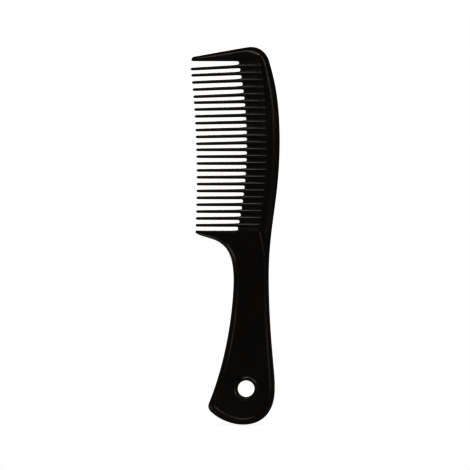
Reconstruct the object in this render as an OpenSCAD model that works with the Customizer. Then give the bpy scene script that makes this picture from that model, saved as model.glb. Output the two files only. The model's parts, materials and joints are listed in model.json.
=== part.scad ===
// Wide tooth handle comb, moulded in black plastic.
//
// Frame: the comb stands upright, +Z runs along the handle from the butt to
// the head, the teeth point to -X (left), the back of the spine faces +X
// (right), and the two flat faces look along -Y (front) and +Y (back). The
// origin is the centre of the hanging hole, half way through the thickness.
//
// The comb is one moulding. Each node is one region of it, a closed solid that
// ends where its neighbour begins, so that nothing overlaps. Millimetres.

/* [Head] */
// Height of the top guard tooth's straight lower edge above the hanging hole
guard_z = 187.4; // [186.6:0.1:188.2]
// Height of the bottom guard tooth's straight upper edge above the hole
floor_z = 90.4; // [90.0:0.1:90.8]
// Radius of the rounded top corner between the top edge and the spine
corner_r = 11.9; // [11.5:0.1:12.2]
// How far the spine's back stands out from the hole's centre line
crown_x = 19.1; // [18.4:0.05:20.4]
// Height at which the spine's back stands out the most
crown_z = 141.8; // [138:0.2:145]
// Slope of the top edge, in degrees
top_slope = 10.3; // [9.5:0.1:11.5]

/* [Teeth] */
// Number of teeth between the two guard teeth
tooth_count = 24; // [20:1:26]
// Tooth thickness along the comb, at the root
tooth_root_thick = 1.82; // [1.4:0.01:1.9]
// Tooth thickness along the comb, at the tip
tooth_tip_thick = 1.35; // [1.0:0.05:1.5]
// Tooth depth through the comb, at the root
tooth_root_depth = 3.4; // [3.0:0.1:3.6]
// Tooth depth through the comb, at the tip
tooth_tip_depth = 1.7; // [1.2:0.1:2.4]
// How far the first tooth slopes down from root to tip, in degrees
lean_first = 3.2; // [0:0.1:4]
// The same for the next four teeth
lean_upper = 2.3; // [0:0.1:3]
// The same for the seven teeth after those
lean_middle = 1.3; // [0:0.1:2]
// The same for all the teeth below
lean_lower = 0.3; // [0:0.1:1]
// Extra spacing between each of the first five teeth, at the top of the head
lead_extra = 0.17; // [0:0.01:0.3]
// X of the tooth tips where they reach in the least
tip_x = -28.25; // [-30:0.05:-26]
// Radius of the arc that the tooth tips follow
tip_arc_r = 581; // [400:1:900]
// X of the gap roots where the gaps are deepest
root_x = 0.6; // [-1:0.05:1.5]
// Radius of the arc that the gap roots follow
root_arc_r = 234.5; // [200:0.5:300]

/* [Web and ribs] */
// Thickness of the thin web between the tooth ribs
web_thick = 2.0; // [1.4:0.1:2.6]
// Width of a rib where it runs into the spine
rib_end_width = 1.5; // [1.2:0.05:1.7]
// X of the line where the ribs meet the spine, at its widest
seat_x = 11.45; // [10.5:0.05:12]
// Radius of the arc that the ribs' ends follow
seat_arc_r = 297; // [260:1:340]

/* [Section] */
// Thickness of the spine, the bead and the ring, so that the comb lies flat
spine_thick = 4.6; // [4.4:0.1:5.2]
// Thickness of the flat handle panel inside the bead
panel_thick = 3.6; // [3.2:0.1:3.8]
// Thickness of the guard teeth where they join the comb
guard_thick = 4.2; // [3.8:0.1:4.4]
// Thickness of the guard teeth at their tips
guard_tip_thick = 2.4; // [2.0:0.1:3.0]
// Thickness of the plain edge left between the two rounded faces
land_thick = 1.6; // [1.2:0.1:2.2]
// Width of the rounding along the back of the comb, from the edge to the flat
back_round = 4.3; // [3.4:0.1:4.4]

/* [Handle] */
// Height of the narrowest place of the handle
waist_z = 63.2; // [58:0.2:68]
// Left side of the waist, measured from the hole's centre line
waist_left = 7.06; // [6.4:0.02:7.8]
// Right side of the waist, measured from the hole's centre line
waist_right = 12.85; // [12.2:0.05:13.8]
// How far the butt stands out to the right
butt_right = 16.42; // [15.6:0.02:17.2]
// How far the butt reaches below the hole's centre
butt_drop = 20.48; // [19:0.02:22]
// Width of the bead along the waist
bead_width = 2.9; // [2.4:0.1:3.4]
// Width of the bead round the butt
butt_bead_width = 3.9; // [3.2:0.1:4.4]

/* [Hanging hole] */
// Diameter of the hanging hole
hole_diam = 9.8; // [8:0.1:10.6]
// Outer diameter of the raised ring round the hole
ring_diam = 14.4; // [13:0.1:15.5]
// Length of the straight cylindrical wall inside the hole
hole_wall = 3.6; // [3.0:0.1:3.9]

/* [Hidden] */
plastic = [0.07, 0.066, 0.062];
plastic_web = [0.11, 0.1, 0.095];
overcut = 2; // how much thicker a cutter is than what it cuts

// ---- curves -------------------------------------------------------------

function reverse(list) = [for (i = [len(list) - 1:-1:0]) list[i]];
// Blend from one value to another, held at both ends
function mix(from, to, part) = from + (to - from) * max(0, min(1, part));
function dir(angle) = [cos(angle), sin(angle)];

// Control points of a cubic that leaves start along one heading and arrives at
// end along another; the two reaches say how long it keeps each heading
function cubic(start, heading, reach, end, end_heading, end_reach) =
    [start, start + reach * dir(heading), end - end_reach * dir(end_heading), end];
function cubic_at(c, t) = pow(1 - t, 3) * c[0] + 3 * pow(1 - t, 2) * t * c[1]
                        + 3 * (1 - t) * t * t * c[2] + pow(t, 3) * c[3];
// Points along a cubic; the last one is left to the next curve
function trace(c, steps) = [for (i = [0:steps - 1]) cubic_at(c, i / steps)];
// Cubics strung through stations of [point, heading, reach in, reach out]
function chain(stations, steps) =
    [for (k = [0:len(steps) - 1])
        let (a = stations[k], b = stations[k + 1])
        for (p = trace(cubic(a[0], a[1], a[3], b[0], b[1], b[2]), steps[k])) p];
// Parameter where a falling cubic passes height z, by bisection
function cubic_param(c, z, low = 0, high = 1, rounds = 24) =
    let (mid = (low + high) / 2)
    rounds == 0 ? mid
    : cubic_at(c, mid).y > z ? cubic_param(c, z, mid, high, rounds - 1)
    : cubic_param(c, z, low, mid, rounds - 1);

// X at height z on a shallow arc that bulges to +X, and is furthest out at mid_z
function bow(z, max_x, mid_z, r) = max_x - r + sqrt(r * r - pow(z - mid_z, 2));
function tip_bow(z) = bow(z, tip_x, 119.9, tip_arc_r);
function root_bow(z) = bow(z, root_x, 140.2, root_arc_r);
function seat_bow(z) = bow(z, seat_x, 143.3, seat_arc_r);

// ---- outline of the head ------------------------------------------------

top_z = 195.83;        // top of the corner's circle
corner_inset = 17.44;  // from the spine's crown in to the corner's centre
corner_centre = [crown_x - corner_inset, top_z - corner_r];
// The top guard tooth meets the spine on the corner arc, above the seat line
joint_angle = acos((seat_bow(guard_z) - corner_centre.x) / corner_r);
joint = corner_centre + corner_r * dir(joint_angle);

// Nose of the top guard tooth: a quarter ellipse that starts above its lower edge
nose_x = -31.2;
nose_length = 1.9;
nose_rise = 1.87;
nose_foot = 0.6;
nose_under = 0.5;  // rounding of the lower edge at the nose
nose_end = [nose_x + nose_length, guard_z + nose_foot + nose_rise];
straight_length = 27;
top_bend = nose_end + dir(top_slope) * straight_length;
n_nose = 6;

// Top edge from the nose to the joint with the spine
top_edge = concat(
    [for (i = [0:n_nose - 1])
        let (a = 90 * i / n_nose)
        [nose_x + nose_length * (1 - cos(a)), guard_z + nose_foot + nose_rise * sin(a)]],
    trace(cubic(nose_end, top_slope, 9, top_bend, top_slope, 9), 16),
    trace(cubic(top_bend, top_slope, 4.5, joint, joint_angle - 90, 3.6), 8),
    [joint]);
// Lower edge under it, rounded over at the nose
top_lower = [for (i = [0:len(top_edge) - 1])
    let (a = 90 * (i + 0.35) / (n_nose + 0.35))
    [top_edge[i].x, guard_z + (i < n_nose ? nose_under * (1 - sin(a)) : 0)]];

// Back of the spine, from the joint down to the level of the lowest gap
n_corner = 8;
n_spine_neck = 16;
corner_end_angle = 15;
corner_end = corner_centre + corner_r * dir(corner_end_angle);
crown = [crown_x, crown_z];
// The waist is a little higher on the right than on the left
waist_skew = 1;
waist_r = [waist_right, waist_z + waist_skew];
waist_l = [-waist_left, waist_z - waist_skew];
neck_curve = cubic(crown, -90, 33.2, waist_r, -90, 29.4);
neck_split = cubic_param(neck_curve, floor_z);
back_edge = concat(
    [for (i = [0:n_corner - 1])
        corner_centre
        + corner_r * dir(joint_angle + (corner_end_angle - joint_angle) * i / n_corner)],
    trace(cubic(corner_end, corner_end_angle - 90, 8, crown, -90, 26), 14),
    [for (i = [0:n_spine_neck]) cubic_at(neck_curve, neck_split * i / n_spine_neck)]);
// Line where the spine meets the ribs
seat_edge = [for (p = back_edge)
    let (z = floor_z + (p.y - floor_z) * (guard_z - floor_z) / (joint.y - floor_z))
    [seat_bow(z), z]];

// ---- outline of the handle ----------------------------------------------

butt_x = -1.9;  // lowest place of the butt
// Left side from the waist up and out to the tip of the bottom guard tooth; the
// bead follows its first steps, the guard tooth's underside the rest
shoulder = cubic(waist_l, 90, 27, [-28.9, floor_z - 1.15], 142, 8);
n_shoulder = 20;
n_low = 3;
n_neck = 8;
butt_steps = [14, 12, 8, 6, 14];

// Bead edges run down the right side, round the butt and up the left.
// Stations: [point, heading, reach in, reach out]
outer_stations = [
    [waist_r,               -90, 0,    30.8],
    [[butt_right, 0.6],     -90, 8.5,  7],
    [[butt_x, -butt_drop],  180, 16.3, 6.5],
    [[-19.2, -13.95],       139, 5.2,  3.2],
    [[-21.1, -8.15],        68,  2.5,  35],
    [waist_l,               90,  5,    0]];
bead_outer = concat(
    [for (i = [0:n_neck - 1]) cubic_at(neck_curve, neck_split + (1 - neck_split) * i / n_neck)],
    chain(outer_stations, butt_steps),
    [for (i = [0:n_low]) cubic_at(shoulder, i / n_shoulder)]);

// The inner edge is also the outline of the panel
in_shoulder = cubic_at(shoulder, n_low / n_shoulder) + [bead_width, -0.4];
inner_stations = [
    [[seat_bow(floor_z), floor_z],              -72, 0,   9],
    [waist_r - [bead_width, 0],                 -90, 10,  30.8],
    [[butt_right - bead_width - 0.4, 0.8],      -90, 8.5, 6],
    [[butt_x, -butt_drop + butt_bead_width],    180, 13,  5],
    [[-15.9, -11.2],                            139, 4.2, 1.6],
    [[-17.5, -7.6],                             68,  1.4, 35],
    [waist_l + [bead_width, 0],                 90,  5,   3],
    [in_shoulder,                               99,  3,   0]];
bead_inner = concat(chain(inner_stations, concat([n_neck], butt_steps, [n_low])), [in_shoulder]);

// Bottom guard tooth: its underside sweeps into the left side of the handle. Its
// upper edge is level as far as the armpit, then falls to the bead's inner edge
n_guard = n_shoulder - n_low;
n_flat = 12;
n_armpit = n_flat + 2;
armpit = [-6.5, floor_z];
under_edge = [for (j = [0:n_guard]) cubic_at(shoulder, 1 - j / n_shoulder)];
over_edge = [for (j = [0:n_guard])
    let (x = under_edge[j].x)
    j == 0 ? [x, floor_z - 0.5]
    : j <= n_flat ? [x, floor_z]
    : j <= n_armpit ? [x + (armpit.x - x) * (j - n_flat) / (n_armpit - n_flat), floor_z]
    : armpit + (j - n_armpit) / (n_guard - n_armpit) * (in_shoulder - armpit)];

// ---- teeth and gaps -----------------------------------------------------

// Each tooth's middle line is level from the spine to the pivot line, and slopes
// from there to its tip
pivot_x = 1;
n_lead = 4;  // number of wider spacings at the top
first_z = guard_z - 2.82;
last_z = floor_z + 3.2;
pitch = (first_z - last_z - n_lead * lead_extra) / (tooth_count - 1);
function tooth_z(i) = first_z - pitch * i - lead_extra * min(i, n_lead);
function lean(i) = i < 1 ? lean_first : i < 5 ? lean_upper : i < 12 ? lean_middle : lean_lower;
function line_z(i, x) = tooth_z(i) + min(0, x - pivot_x) * tan(lean(i));

// Gaps are counted from the top guard down. Each ends in an arc whose radius is
// this share of the gap's width, with its centre on the line gap_end_x
gap_round = 0.45;
function gap_end_x(z) = root_bow(z) - gap_round * (pitch - tooth_root_thick);
function root_z(i) = line_z(i, gap_end_x(tooth_z(i)));
function gap_top(k) = k == 0 ? guard_z : root_z(k - 1) - tooth_root_thick / 2;
function gap_bottom(k) = k == tooth_count ? floor_z : root_z(k) + tooth_root_thick / 2;
function gap_z(k) = (gap_top(k) + gap_bottom(k)) / 2;
gap_edge = [for (z = concat([guard_z], [for (k = [0:tooth_count]) gap_z(k)], [floor_z]))
    [gap_end_x(z), z]];

// ---- building blocks ----------------------------------------------------

// A flat shape in the XZ plane, given a thickness about the middle plane
module slab(points, thick) {
    rotate([90, 0, 0]) linear_extrude(height = thick, center = true) polygon(points);
}

// The part of the head to the right of an edge, out past the spine
function right_of(edge) = concat(edge, [[40, floor_z], [40, guard_z]]);

// Points of one cross-section, from the outer edge to the inner edge and back on
// the other face. land, top and foot are half thicknesses: the face rises from
// the land at the outer edge to the top over rise_run, then falls to the foot
// over fall_run before the inner edge. A low power rises evenly, a high one
// turns over early.
function section(outer, inner, land, top, foot, rise_run, fall_run, power) =
    let (width = norm(inner - outer),
         rise = min(rise_run, 0.55 * width),
         fall = min(fall_run, 0.42 * width),
         steps = [0, 0.1, 0.3, 0.6, 1],
         // [share of the fall still ahead, share of its height still left]
         falls = [[1, 1], [0.6, 0.62], [0.2, 0.16], [0, 0]],
         across = concat([for (s = steps) s * rise], [for (s = falls) width - s[0] * fall]),
         half = concat([for (s = steps) land + (top - land) * (1 - pow(1 - s, power))],
                       [for (s = falls) foot + (top - foot) * s[1]]),
         front = [for (k = [0:len(half) - 1])
             let (p = outer + (inner - outer) * across[k] / width)
             [p.x, -half[k], p.y]])
    concat(front, [for (p = reverse(front)) [p.x, -p.y, p.z]]);
even_power = 1.6;
early_power = 2.2;

// A solid strung on a list of such cross-sections, with flat ends
module strake(sections) {
    m = len(sections[0]);
    n = len(sections);
    start_cap = [for (k = [1:m / 2 - 1])
        for (f = [[k - 1, k, m - 1 - k], [k - 1, m - 1 - k, m - k]]) f];
    sides = [for (j = [0:n - 2]) for (k = [0:m - 1])
        let (a = j * m + k, b = j * m + (k + 1) % m)
        for (f = [[a, a + m, b], [b, a + m, b + m]]) f];
    end_cap = [for (f = start_cap) [for (v = [f[0], f[2], f[1]]) v + (n - 1) * m]];
    polyhedron(points = [for (s = sections) for (p = s) p],
               faces = concat(start_cap, sides, end_cap), convexity = 6);
}

// ---- regions of the comb ------------------------------------------------

back_fall = 1.0;    // run from the spine's flat down to the panel's thickness
guard_fall = 0.7;   // the same at the free part of the guard teeth
nose_land = 0.5;    // half thickness of the guard teeth's edge at the nose
nose_share = 0.72;  // share of the tip's thickness left at the very nose

// The back of the comb, with its rounded top corner
module spine() color(plastic) {
    n = len(back_edge) - 1;
    strake([for (k = [0:n])
        section(back_edge[k], seat_edge[k], land = land_thick / 2,
                top = mix(guard_thick, spine_thick, k / n * 6) / 2, foot = panel_thick / 2,
                rise_run = back_round, fall_run = back_fall, power = even_power)]);
}

// The thin sheet that closes the head between the ribs; its left side holds the
// rounded ends of the gaps
module rib_web() color(plastic_web)
    difference() {
        slab(concat(gap_edge, reverse(seat_edge)), web_thick);
        for (k = [0:tooth_count])
            translate([gap_end_x(gap_z(k)), 0, gap_z(k)])
                rotate([90, 0, 0])
                    cylinder(r = gap_round * (gap_top(k) - gap_bottom(k)),
                             h = web_thick + overcut, center = true, $fn = 48);
    }

// One tooth: free from its rounded tip to the gap root, then carried on as a
// rib on both faces of the web up to the spine
module tooth(i) {
    z = tooth_z(i);
    root = gap_end_x(z);
    tip_r = tooth_tip_thick / 2;
    tip = tip_bow(line_z(i, tip_x));
    tip_centre = tip + tip_r;
    // Stations along the free part: [x, middle line, half thickness]
    stations = [for (f = [0:0.2:1])
        let (x = tip_centre + (root - tip_centre) * f)
        [x, line_z(i, x), mix(tip_r, tooth_root_thick / 2, pow(f, 0.8))]];
    upper = [for (s = stations) [s[0], s[1] + s[2]]];
    lower = [for (s = stations) [s[0], s[1] - s[2]]];
    rib_half = rib_end_width / 2;
    pivot_half = rib_half + 0.1;
    rib = [[pivot_x, z + pivot_half], [seat_x + 2, z + rib_half],
           [seat_x + 2, z - rib_half], [pivot_x, z - pivot_half]];
    // Right half of the depth outline seen from above: [x, half depth]
    depth = [[tip - 1, tooth_tip_depth / 2], [root, tooth_root_depth / 2],
             [seat_x + 3, tooth_root_depth / 2]];
    difference() {
        intersection() {
            union() {
                slab(concat(upper, rib, reverse(lower)), tooth_root_depth + overcut);
                translate([tip_centre, 0, line_z(i, tip_centre)]) rotate([90, 0, 0])
                    cylinder(r = tip_r, h = tooth_root_depth + overcut, center = true, $fn = 32);
            }
            linear_extrude(height = 400, center = true)
                polygon(concat([for (p = depth) [p.x, -p.y]], reverse(depth)));
        }
        slab(right_of(gap_edge), web_thick);
        slab(right_of(seat_edge), 20);
    }
}

module teeth() color(plastic)
    for (i = [0:tooth_count - 1]) tooth(i);

// The thick sloping tooth that protects the first tooth
module top_guard_tooth() color(plastic) {
    start = top_edge[0].x;
    blend_from = 0.72;  // from here on the section turns into the spine's
    strake(reverse([for (k = [0:len(top_edge) - 1])
        let (along = (top_edge[k].x - start) / (joint.x - start),
             top = mix(guard_tip_thick, guard_thick, along * 1.4) / 2
                   * mix(nose_share, 1, along * 20),
             blend = (along - blend_from) / (1 - blend_from))
        section(top_edge[k], top_lower[k], land = mix(nose_land, land_thick / 2, along * 8),
                top = top, foot = mix(min(top * 0.8, 1.1), panel_thick / 2, blend),
                rise_run = mix(2.8, back_round, blend),
                fall_run = mix(guard_fall, back_fall, blend),
                power = mix(early_power, even_power, blend))]));
}

// The tooth that protects the last tooth and sweeps down into the handle; its
// root slopes gently down to the panel
module bottom_guard_tooth() color(plastic)
    strake([for (k = [0:n_guard])
        let (along = k / n_flat,
             free_top = mix(guard_tip_thick, guard_thick, along * 1.2) / 2
                        * mix(nose_share, 1, k / 2),
             blend = (k - n_flat) / (n_guard - n_flat))
        section(under_edge[k], over_edge[k], land = mix(nose_land, land_thick / 2, along * 3),
                top = mix(free_top, spine_thick / 2, blend),
                foot = mix(mix(0.9, 1.2, along * 2), panel_thick / 2, (k - n_flat + 2) / 3),
                rise_run = mix(2.4, bead_width / 2, blend),
                fall_run = mix(guard_fall, 10, blend), power = early_power)]);

// The flat middle of the handle
module handle_panel() color(plastic)
    difference() {
        slab(concat(bead_inner, [for (j = [n_guard - 1:-1:n_armpit]) over_edge[j]]), panel_thick);
        rotate([90, 0, 0])
            cylinder(d = ring_diam, h = panel_thick + overcut, center = true, $fn = 96);
    }

// The raised, rounded bead that runs round the edge of the handle; down the neck
// its section turns from the spine's into its own
module handle_bead() color(plastic)
    strake([for (k = [0:len(bead_outer) - 1])
        let (own = k / n_neck,
             // Widens to the butt's rounding from z = -4 down to z = -14
             round_width = mix(bead_width, butt_bead_width + 0.6, (-4 - bead_outer[k].y) / 10))
        section(bead_outer[k], bead_inner[k], land = land_thick / 2, top = spine_thick / 2,
                foot = panel_thick / 2, rise_run = mix(back_round, round_width / 2, own),
                fall_run = mix(back_fall, 1.4, own), power = mix(even_power, early_power, own))]);

// The raised ring round the hanging hole, with the hole's wall
module hang_hole_ring() color(plastic) {
    hole_r = hole_diam / 2;
    ring_r = ring_diam / 2;
    crest_r = (hole_r + ring_r) / 2;
    // One face from the hole's wall over the crest to the panel: [radius, height]
    face = concat(
        [for (t = [0:15:90])
            [hole_r + (crest_r - hole_r) * sin(t),
             hole_wall / 2 + (spine_thick - hole_wall) / 2 * sin(t) * (0.6 + 0.4 * sin(t))]],
        [for (t = [15:15:90])
            [crest_r + (ring_r - crest_r) * sin(t), mix(spine_thick, panel_thick, 1 - cos(t)) / 2]]);
    rotate([90, 0, 0]) rotate_extrude($fn = 96)
        polygon(concat([for (p = face) [p.x, -p.y]], reverse(face)));
}

spine();
rib_web();
teeth();
top_guard_tooth();
bottom_guard_tooth();
handle_panel();
handle_bead();
hang_hole_ring();
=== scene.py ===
# A black plastic comb with a bead-edged handle, a ribbed web and 24 teeth between two guard teeth.
# Its long axis is Z with the handle at the bottom; the teeth point to -X, the spine is on the
# +X side and the front face looks along -Y. The hang hole runs along Y through the origin.

import json
import math
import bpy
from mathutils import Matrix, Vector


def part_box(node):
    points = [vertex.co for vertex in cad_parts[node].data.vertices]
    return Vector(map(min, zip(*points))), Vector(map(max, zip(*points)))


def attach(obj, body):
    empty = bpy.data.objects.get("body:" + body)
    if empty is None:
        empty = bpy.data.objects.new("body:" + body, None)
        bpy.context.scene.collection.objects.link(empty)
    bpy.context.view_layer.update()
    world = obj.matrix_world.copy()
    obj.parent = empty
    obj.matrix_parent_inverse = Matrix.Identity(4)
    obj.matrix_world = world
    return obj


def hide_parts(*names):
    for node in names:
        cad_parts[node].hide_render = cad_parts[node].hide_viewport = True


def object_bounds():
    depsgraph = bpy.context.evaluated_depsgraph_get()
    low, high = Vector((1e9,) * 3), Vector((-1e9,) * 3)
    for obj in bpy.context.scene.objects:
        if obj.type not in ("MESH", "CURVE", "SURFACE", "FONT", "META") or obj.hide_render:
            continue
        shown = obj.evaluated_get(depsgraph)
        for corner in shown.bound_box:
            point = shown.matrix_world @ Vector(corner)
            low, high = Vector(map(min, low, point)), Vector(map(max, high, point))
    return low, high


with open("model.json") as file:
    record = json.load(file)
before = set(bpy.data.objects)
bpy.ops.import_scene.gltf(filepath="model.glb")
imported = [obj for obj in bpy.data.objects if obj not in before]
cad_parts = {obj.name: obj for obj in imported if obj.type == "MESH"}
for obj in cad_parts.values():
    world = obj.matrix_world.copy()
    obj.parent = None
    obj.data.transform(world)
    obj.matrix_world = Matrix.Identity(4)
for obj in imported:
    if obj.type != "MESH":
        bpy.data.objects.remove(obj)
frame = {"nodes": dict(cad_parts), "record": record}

from types import SimpleNamespace

import bpy
import numpy as np
from mathutils import Vector
from mathutils.geometry import delaunay_2d_cdt

# ---------------------------------------------------------------------------
# Sizes in millimetres, read from the CAD boxes where they give them.
# Meshes are turned into metres when they are made.
# ---------------------------------------------------------------------------

cad_lo, cad_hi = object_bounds()
BOX = {name: [[c * 1000 for c in corner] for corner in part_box(name)] for name in frame["nodes"]}
MOUNTS = {mount["name"]: mount for mount in frame["record"]["mounts"]}

WEB_BOTTOM = BOX["rib_web"][0][2]
WEB_TOP = BOX["rib_web"][1][2]
SPINE_X = BOX["spine"][1][0]
BUTT_X = BOX["handle_bead"][1][0]
BUTT_Z = BOX["handle_bead"][0][2]
RING_R = BOX["hang_hole_ring"][1][0]
HOLE_R = MOUNTS["hang_hole"]["dims"]["r_mm"]
HOLE_WALL = MOUNTS["hang_hole"]["dims"]["length_mm"]

# half thicknesses, along Y
WEB_HALF = BOX["rib_web"][1][1]
SPINE_HALF = BOX["spine"][1][1]
BEAD_HALF = BOX["handle_bead"][1][1]
PANEL_HALF = BOX["handle_panel"][1][1]
TOOTH_HALF = BOX["teeth"][1][1]
TOOTH_TIP_HALF = 0.85
GUARD_HALF = BOX["top_guard_tooth"][1][1]
RING_HALF = BOX["hang_hole_ring"][1][1]
LAND_HALF = 0.05            # of the flat along the free edges

# tooth widths, along Z
ROOT_WIDTH = 1.82
TIP_WIDTH = 1.35
RIB_WIDTH = 1.5

RING_SEGMENTS = 96
MIRROR = np.array([1, -1, 1])           # front to back


# ---------------------------------------------------------------------------
# Curves in the XZ plane, and easing
# ---------------------------------------------------------------------------

def heading(degrees):
    """Unit vector at an angle from +X towards +Z."""
    return np.array([math.cos(math.radians(degrees)), math.sin(math.radians(degrees))])


def curve(start, start_deg, start_pull, end, end_deg, end_pull):
    """Bezier control points from each end's place, heading and handle length."""
    start, end = np.array(start, float), np.array(end, float)
    return np.array([start, start + start_pull * heading(start_deg),
                     end - end_pull * heading(end_deg), end])


def bezier(control, t):
    t = np.atleast_1d(np.asarray(t, float))[:, None]
    return ((1 - t) ** 3 * control[0] + 3 * (1 - t) ** 2 * t * control[1]
            + 3 * (1 - t) * t * t * control[2] + t ** 3 * control[3])


def steps(count, last=False):
    """Even fractions from 0; the closing 1 only if last is set."""
    return np.linspace(0, 1, count + 1)[: count + 1 if last else count]


def along(control, count, begin=0, end=1, last=False):
    """Points on the part of a curve between two parameters."""
    return bezier(control, begin + (end - begin) * steps(count, last))


def bow(z, peak_x, peak_z, radius):
    """X of a large arc that bulges towards +X."""
    return peak_x - radius + np.sqrt(radius * radius - (np.asarray(z, float) - peak_z) ** 2)


def ease(t):
    t = np.clip(t, 0, 1)
    return 0.5 - 0.5 * np.cos(np.pi * t)


def ramp_01(t, rounding=0.17):
    """Even slope from 0 to 1 with its two ends rounded off."""
    t = np.clip(t, 0, 1)
    k = 1 / (2 * rounding * (1 - rounding))
    middle = (t - rounding / 2) / (1 - rounding)
    return np.where(t < rounding, k * t * t,
                    np.where(t > 1 - rounding, 1 - k * (1 - t) ** 2, middle))


def mix(a, b, t):
    return a + (b - a) * np.clip(t, 0, 1)


# ---------------------------------------------------------------------------
# Tooth layout. Tooth 0 is the top one; gap k lies above tooth k.
# ---------------------------------------------------------------------------

TIP_X = -28.25

N_TEETH = 24
PIVOT_X = 1.0               # teeth lean about this x
EXTRA_PITCH = 0.17          # added to each of the first gaps
WIDE_GAPS = 4
FIRST_Z = WEB_TOP - 2.82
LAST_Z = WEB_BOTTOM + 3.2
PITCH = (FIRST_Z - LAST_Z - WIDE_GAPS * EXTRA_PITCH) / (N_TEETH - 1)
SLOT_INSET = 0.45 * (PITCH - ROOT_WIDTH)


def tip_bow(z):
    return bow(z, peak_x=TIP_X, peak_z=119.9, radius=581)


def root_bow(z):
    """Line through the closed ends of the gaps."""
    return bow(z, peak_x=0.6, peak_z=140.2, radius=234.5)


def seat_bow(z):
    """Line where the web meets the spine."""
    return bow(z, peak_x=11.45, peak_z=143.3, radius=297)


def slot_x(z):
    """Where the rounding of the gaps starts."""
    return root_bow(z) - SLOT_INSET


def tooth_z(i):
    return FIRST_Z - PITCH * i - EXTRA_PITCH * min(i, WIDE_GAPS)


def lean(i):
    return 3.2 if i < 1 else 2.3 if i < 5 else 1.3 if i < 12 else 0.3


def line_z(i, x):
    """Z of a tooth's middle line, which leans down towards the tip."""
    drop = np.minimum(0, np.asarray(x, float) - PIVOT_X) * math.tan(math.radians(lean(i)))
    return tooth_z(i) + drop


def gap_top(k):
    if k == 0:
        return WEB_TOP
    return float(line_z(k - 1, slot_x(tooth_z(k - 1)))) - ROOT_WIDTH / 2


def gap_bottom(k):
    if k == N_TEETH:
        return WEB_BOTTOM
    return float(line_z(k, slot_x(tooth_z(k)))) + ROOT_WIDTH / 2


# ---------------------------------------------------------------------------
# Outline: a strip of paired outer and inner points (x, z) that runs from the top guard
# tooth's tip over the spine, round the handle and out to the bottom guard tooth's tip.
# Curves are written as start, heading, pull, end, heading, pull.
# ---------------------------------------------------------------------------

SEAT_TOP = float(seat_bow(WEB_TOP))
SEAT_BOTTOM = float(seat_bow(WEB_BOTTOM))

# rounded corner between the top guard tooth and the spine
CORNER_R = 11.9
CORNER = np.array([SPINE_X - 17.44, 195.83 - CORNER_R])
JOINT_DEG = math.degrees(math.acos((SEAT_TOP - CORNER[0]) / CORNER_R))
JOINT = CORNER + CORNER_R * heading(JOINT_DEG)
CORNER_END_DEG = 15
SPINE_MID = [SPINE_X, 141.8]

# waist of the handle; the neck curve belongs partly to the spine and partly to the bead
WAIST_Z = 63.2
WAIST_R = np.array([12.85, WAIST_Z + 1])
WAIST_L = np.array([-7.06, WAIST_Z - 1])
NECK = curve(SPINE_MID, -90, 33.2, WAIST_R, -90, 29.4)


def neck_parameter_at(z):
    low, high = 0.0, 1.0
    for _ in range(40):
        middle = (low + high) / 2
        if bezier(NECK, middle)[0][1] > z:
            low = middle
        else:
            high = middle
    return (low + high) / 2


NECK_SPLIT = neck_parameter_at(WEB_BOTTOM)


def top_guard_outline():
    nose_count = 12
    nose_end = np.array([-29.3, 189.87])
    nose_length, nose_rise = 1.9, 1.87
    edge_deg, edge_length = 10.3, 27
    bend = nose_end + heading(edge_deg) * edge_length
    angle = np.radians(90) * steps(nose_count)
    outer = np.vstack([
        np.stack([nose_end[0] - nose_length + nose_length * (1 - np.cos(angle)),
                  WEB_TOP + 0.6 + nose_rise * np.sin(angle)], 1),
        nose_end + np.outer(steps(44) * edge_length, heading(edge_deg)),
        along(curve(bend, edge_deg, 4.5, JOINT, JOINT_DEG - 90, 3.6), 26, last=True)])
    inner = np.stack([outer[:, 0], np.full(len(outer), WEB_TOP)], 1)
    angle_in = np.radians(90) * (np.arange(nose_count) + 0.3) / (nose_count + 0.3)
    inner[:nose_count, 1] = WEB_TOP + 0.5 * (1 - np.sin(angle_in))
    return outer, inner


def spine_outline():
    angle = np.radians(JOINT_DEG + (CORNER_END_DEG - JOINT_DEG) * steps(26))
    corner_end = CORNER + CORNER_R * heading(CORNER_END_DEG)
    outer = np.vstack([
        CORNER + CORNER_R * np.stack([np.cos(angle), np.sin(angle)], 1),
        along(curve(corner_end, CORNER_END_DEG - 90, 8, SPINE_MID, -90, 26), 64),
        along(NECK, 64, end=NECK_SPLIT, last=True)])
    squeeze = (WEB_TOP - WEB_BOTTOM) / (JOINT[1] - WEB_BOTTOM)
    z = WEB_BOTTOM + (outer[:, 1] - WEB_BOTTOM) * squeeze
    return outer, np.stack([seat_bow(z), z], 1)


# handle and the shoulder curve that leads into the bottom guard tooth
BUTT_SIDE = np.array([BUTT_X, 0.6])
BUTT_END = np.array([-1.9, BUTT_Z])
HEEL, HEEL_TOP = [-19.2, -13.95], [-21.1, -8.15]
SHOULDER = curve(WAIST_L, 90, 27, [-28.9, WEB_BOTTOM - 1.15], 142, 8)
SHOULDER_SPLIT = 3 / 20
BEAD_SIDE = 2.9
IN_SHOULDER = bezier(SHOULDER, SHOULDER_SPLIT)[0] + np.array([BEAD_SIDE, -0.4])
IN_WAIST_R, IN_WAIST_L = WAIST_R - [BEAD_SIDE, 0], WAIST_L + [BEAD_SIDE, 0]
IN_BUTT_SIDE, IN_BUTT_END = np.array([BUTT_X - 3.3, 0.8]), np.array([-1.9, BUTT_Z + 3.9])
IN_HEEL, IN_HEEL_TOP = [-15.9, -11.2], [-17.5, -7.6]

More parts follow.
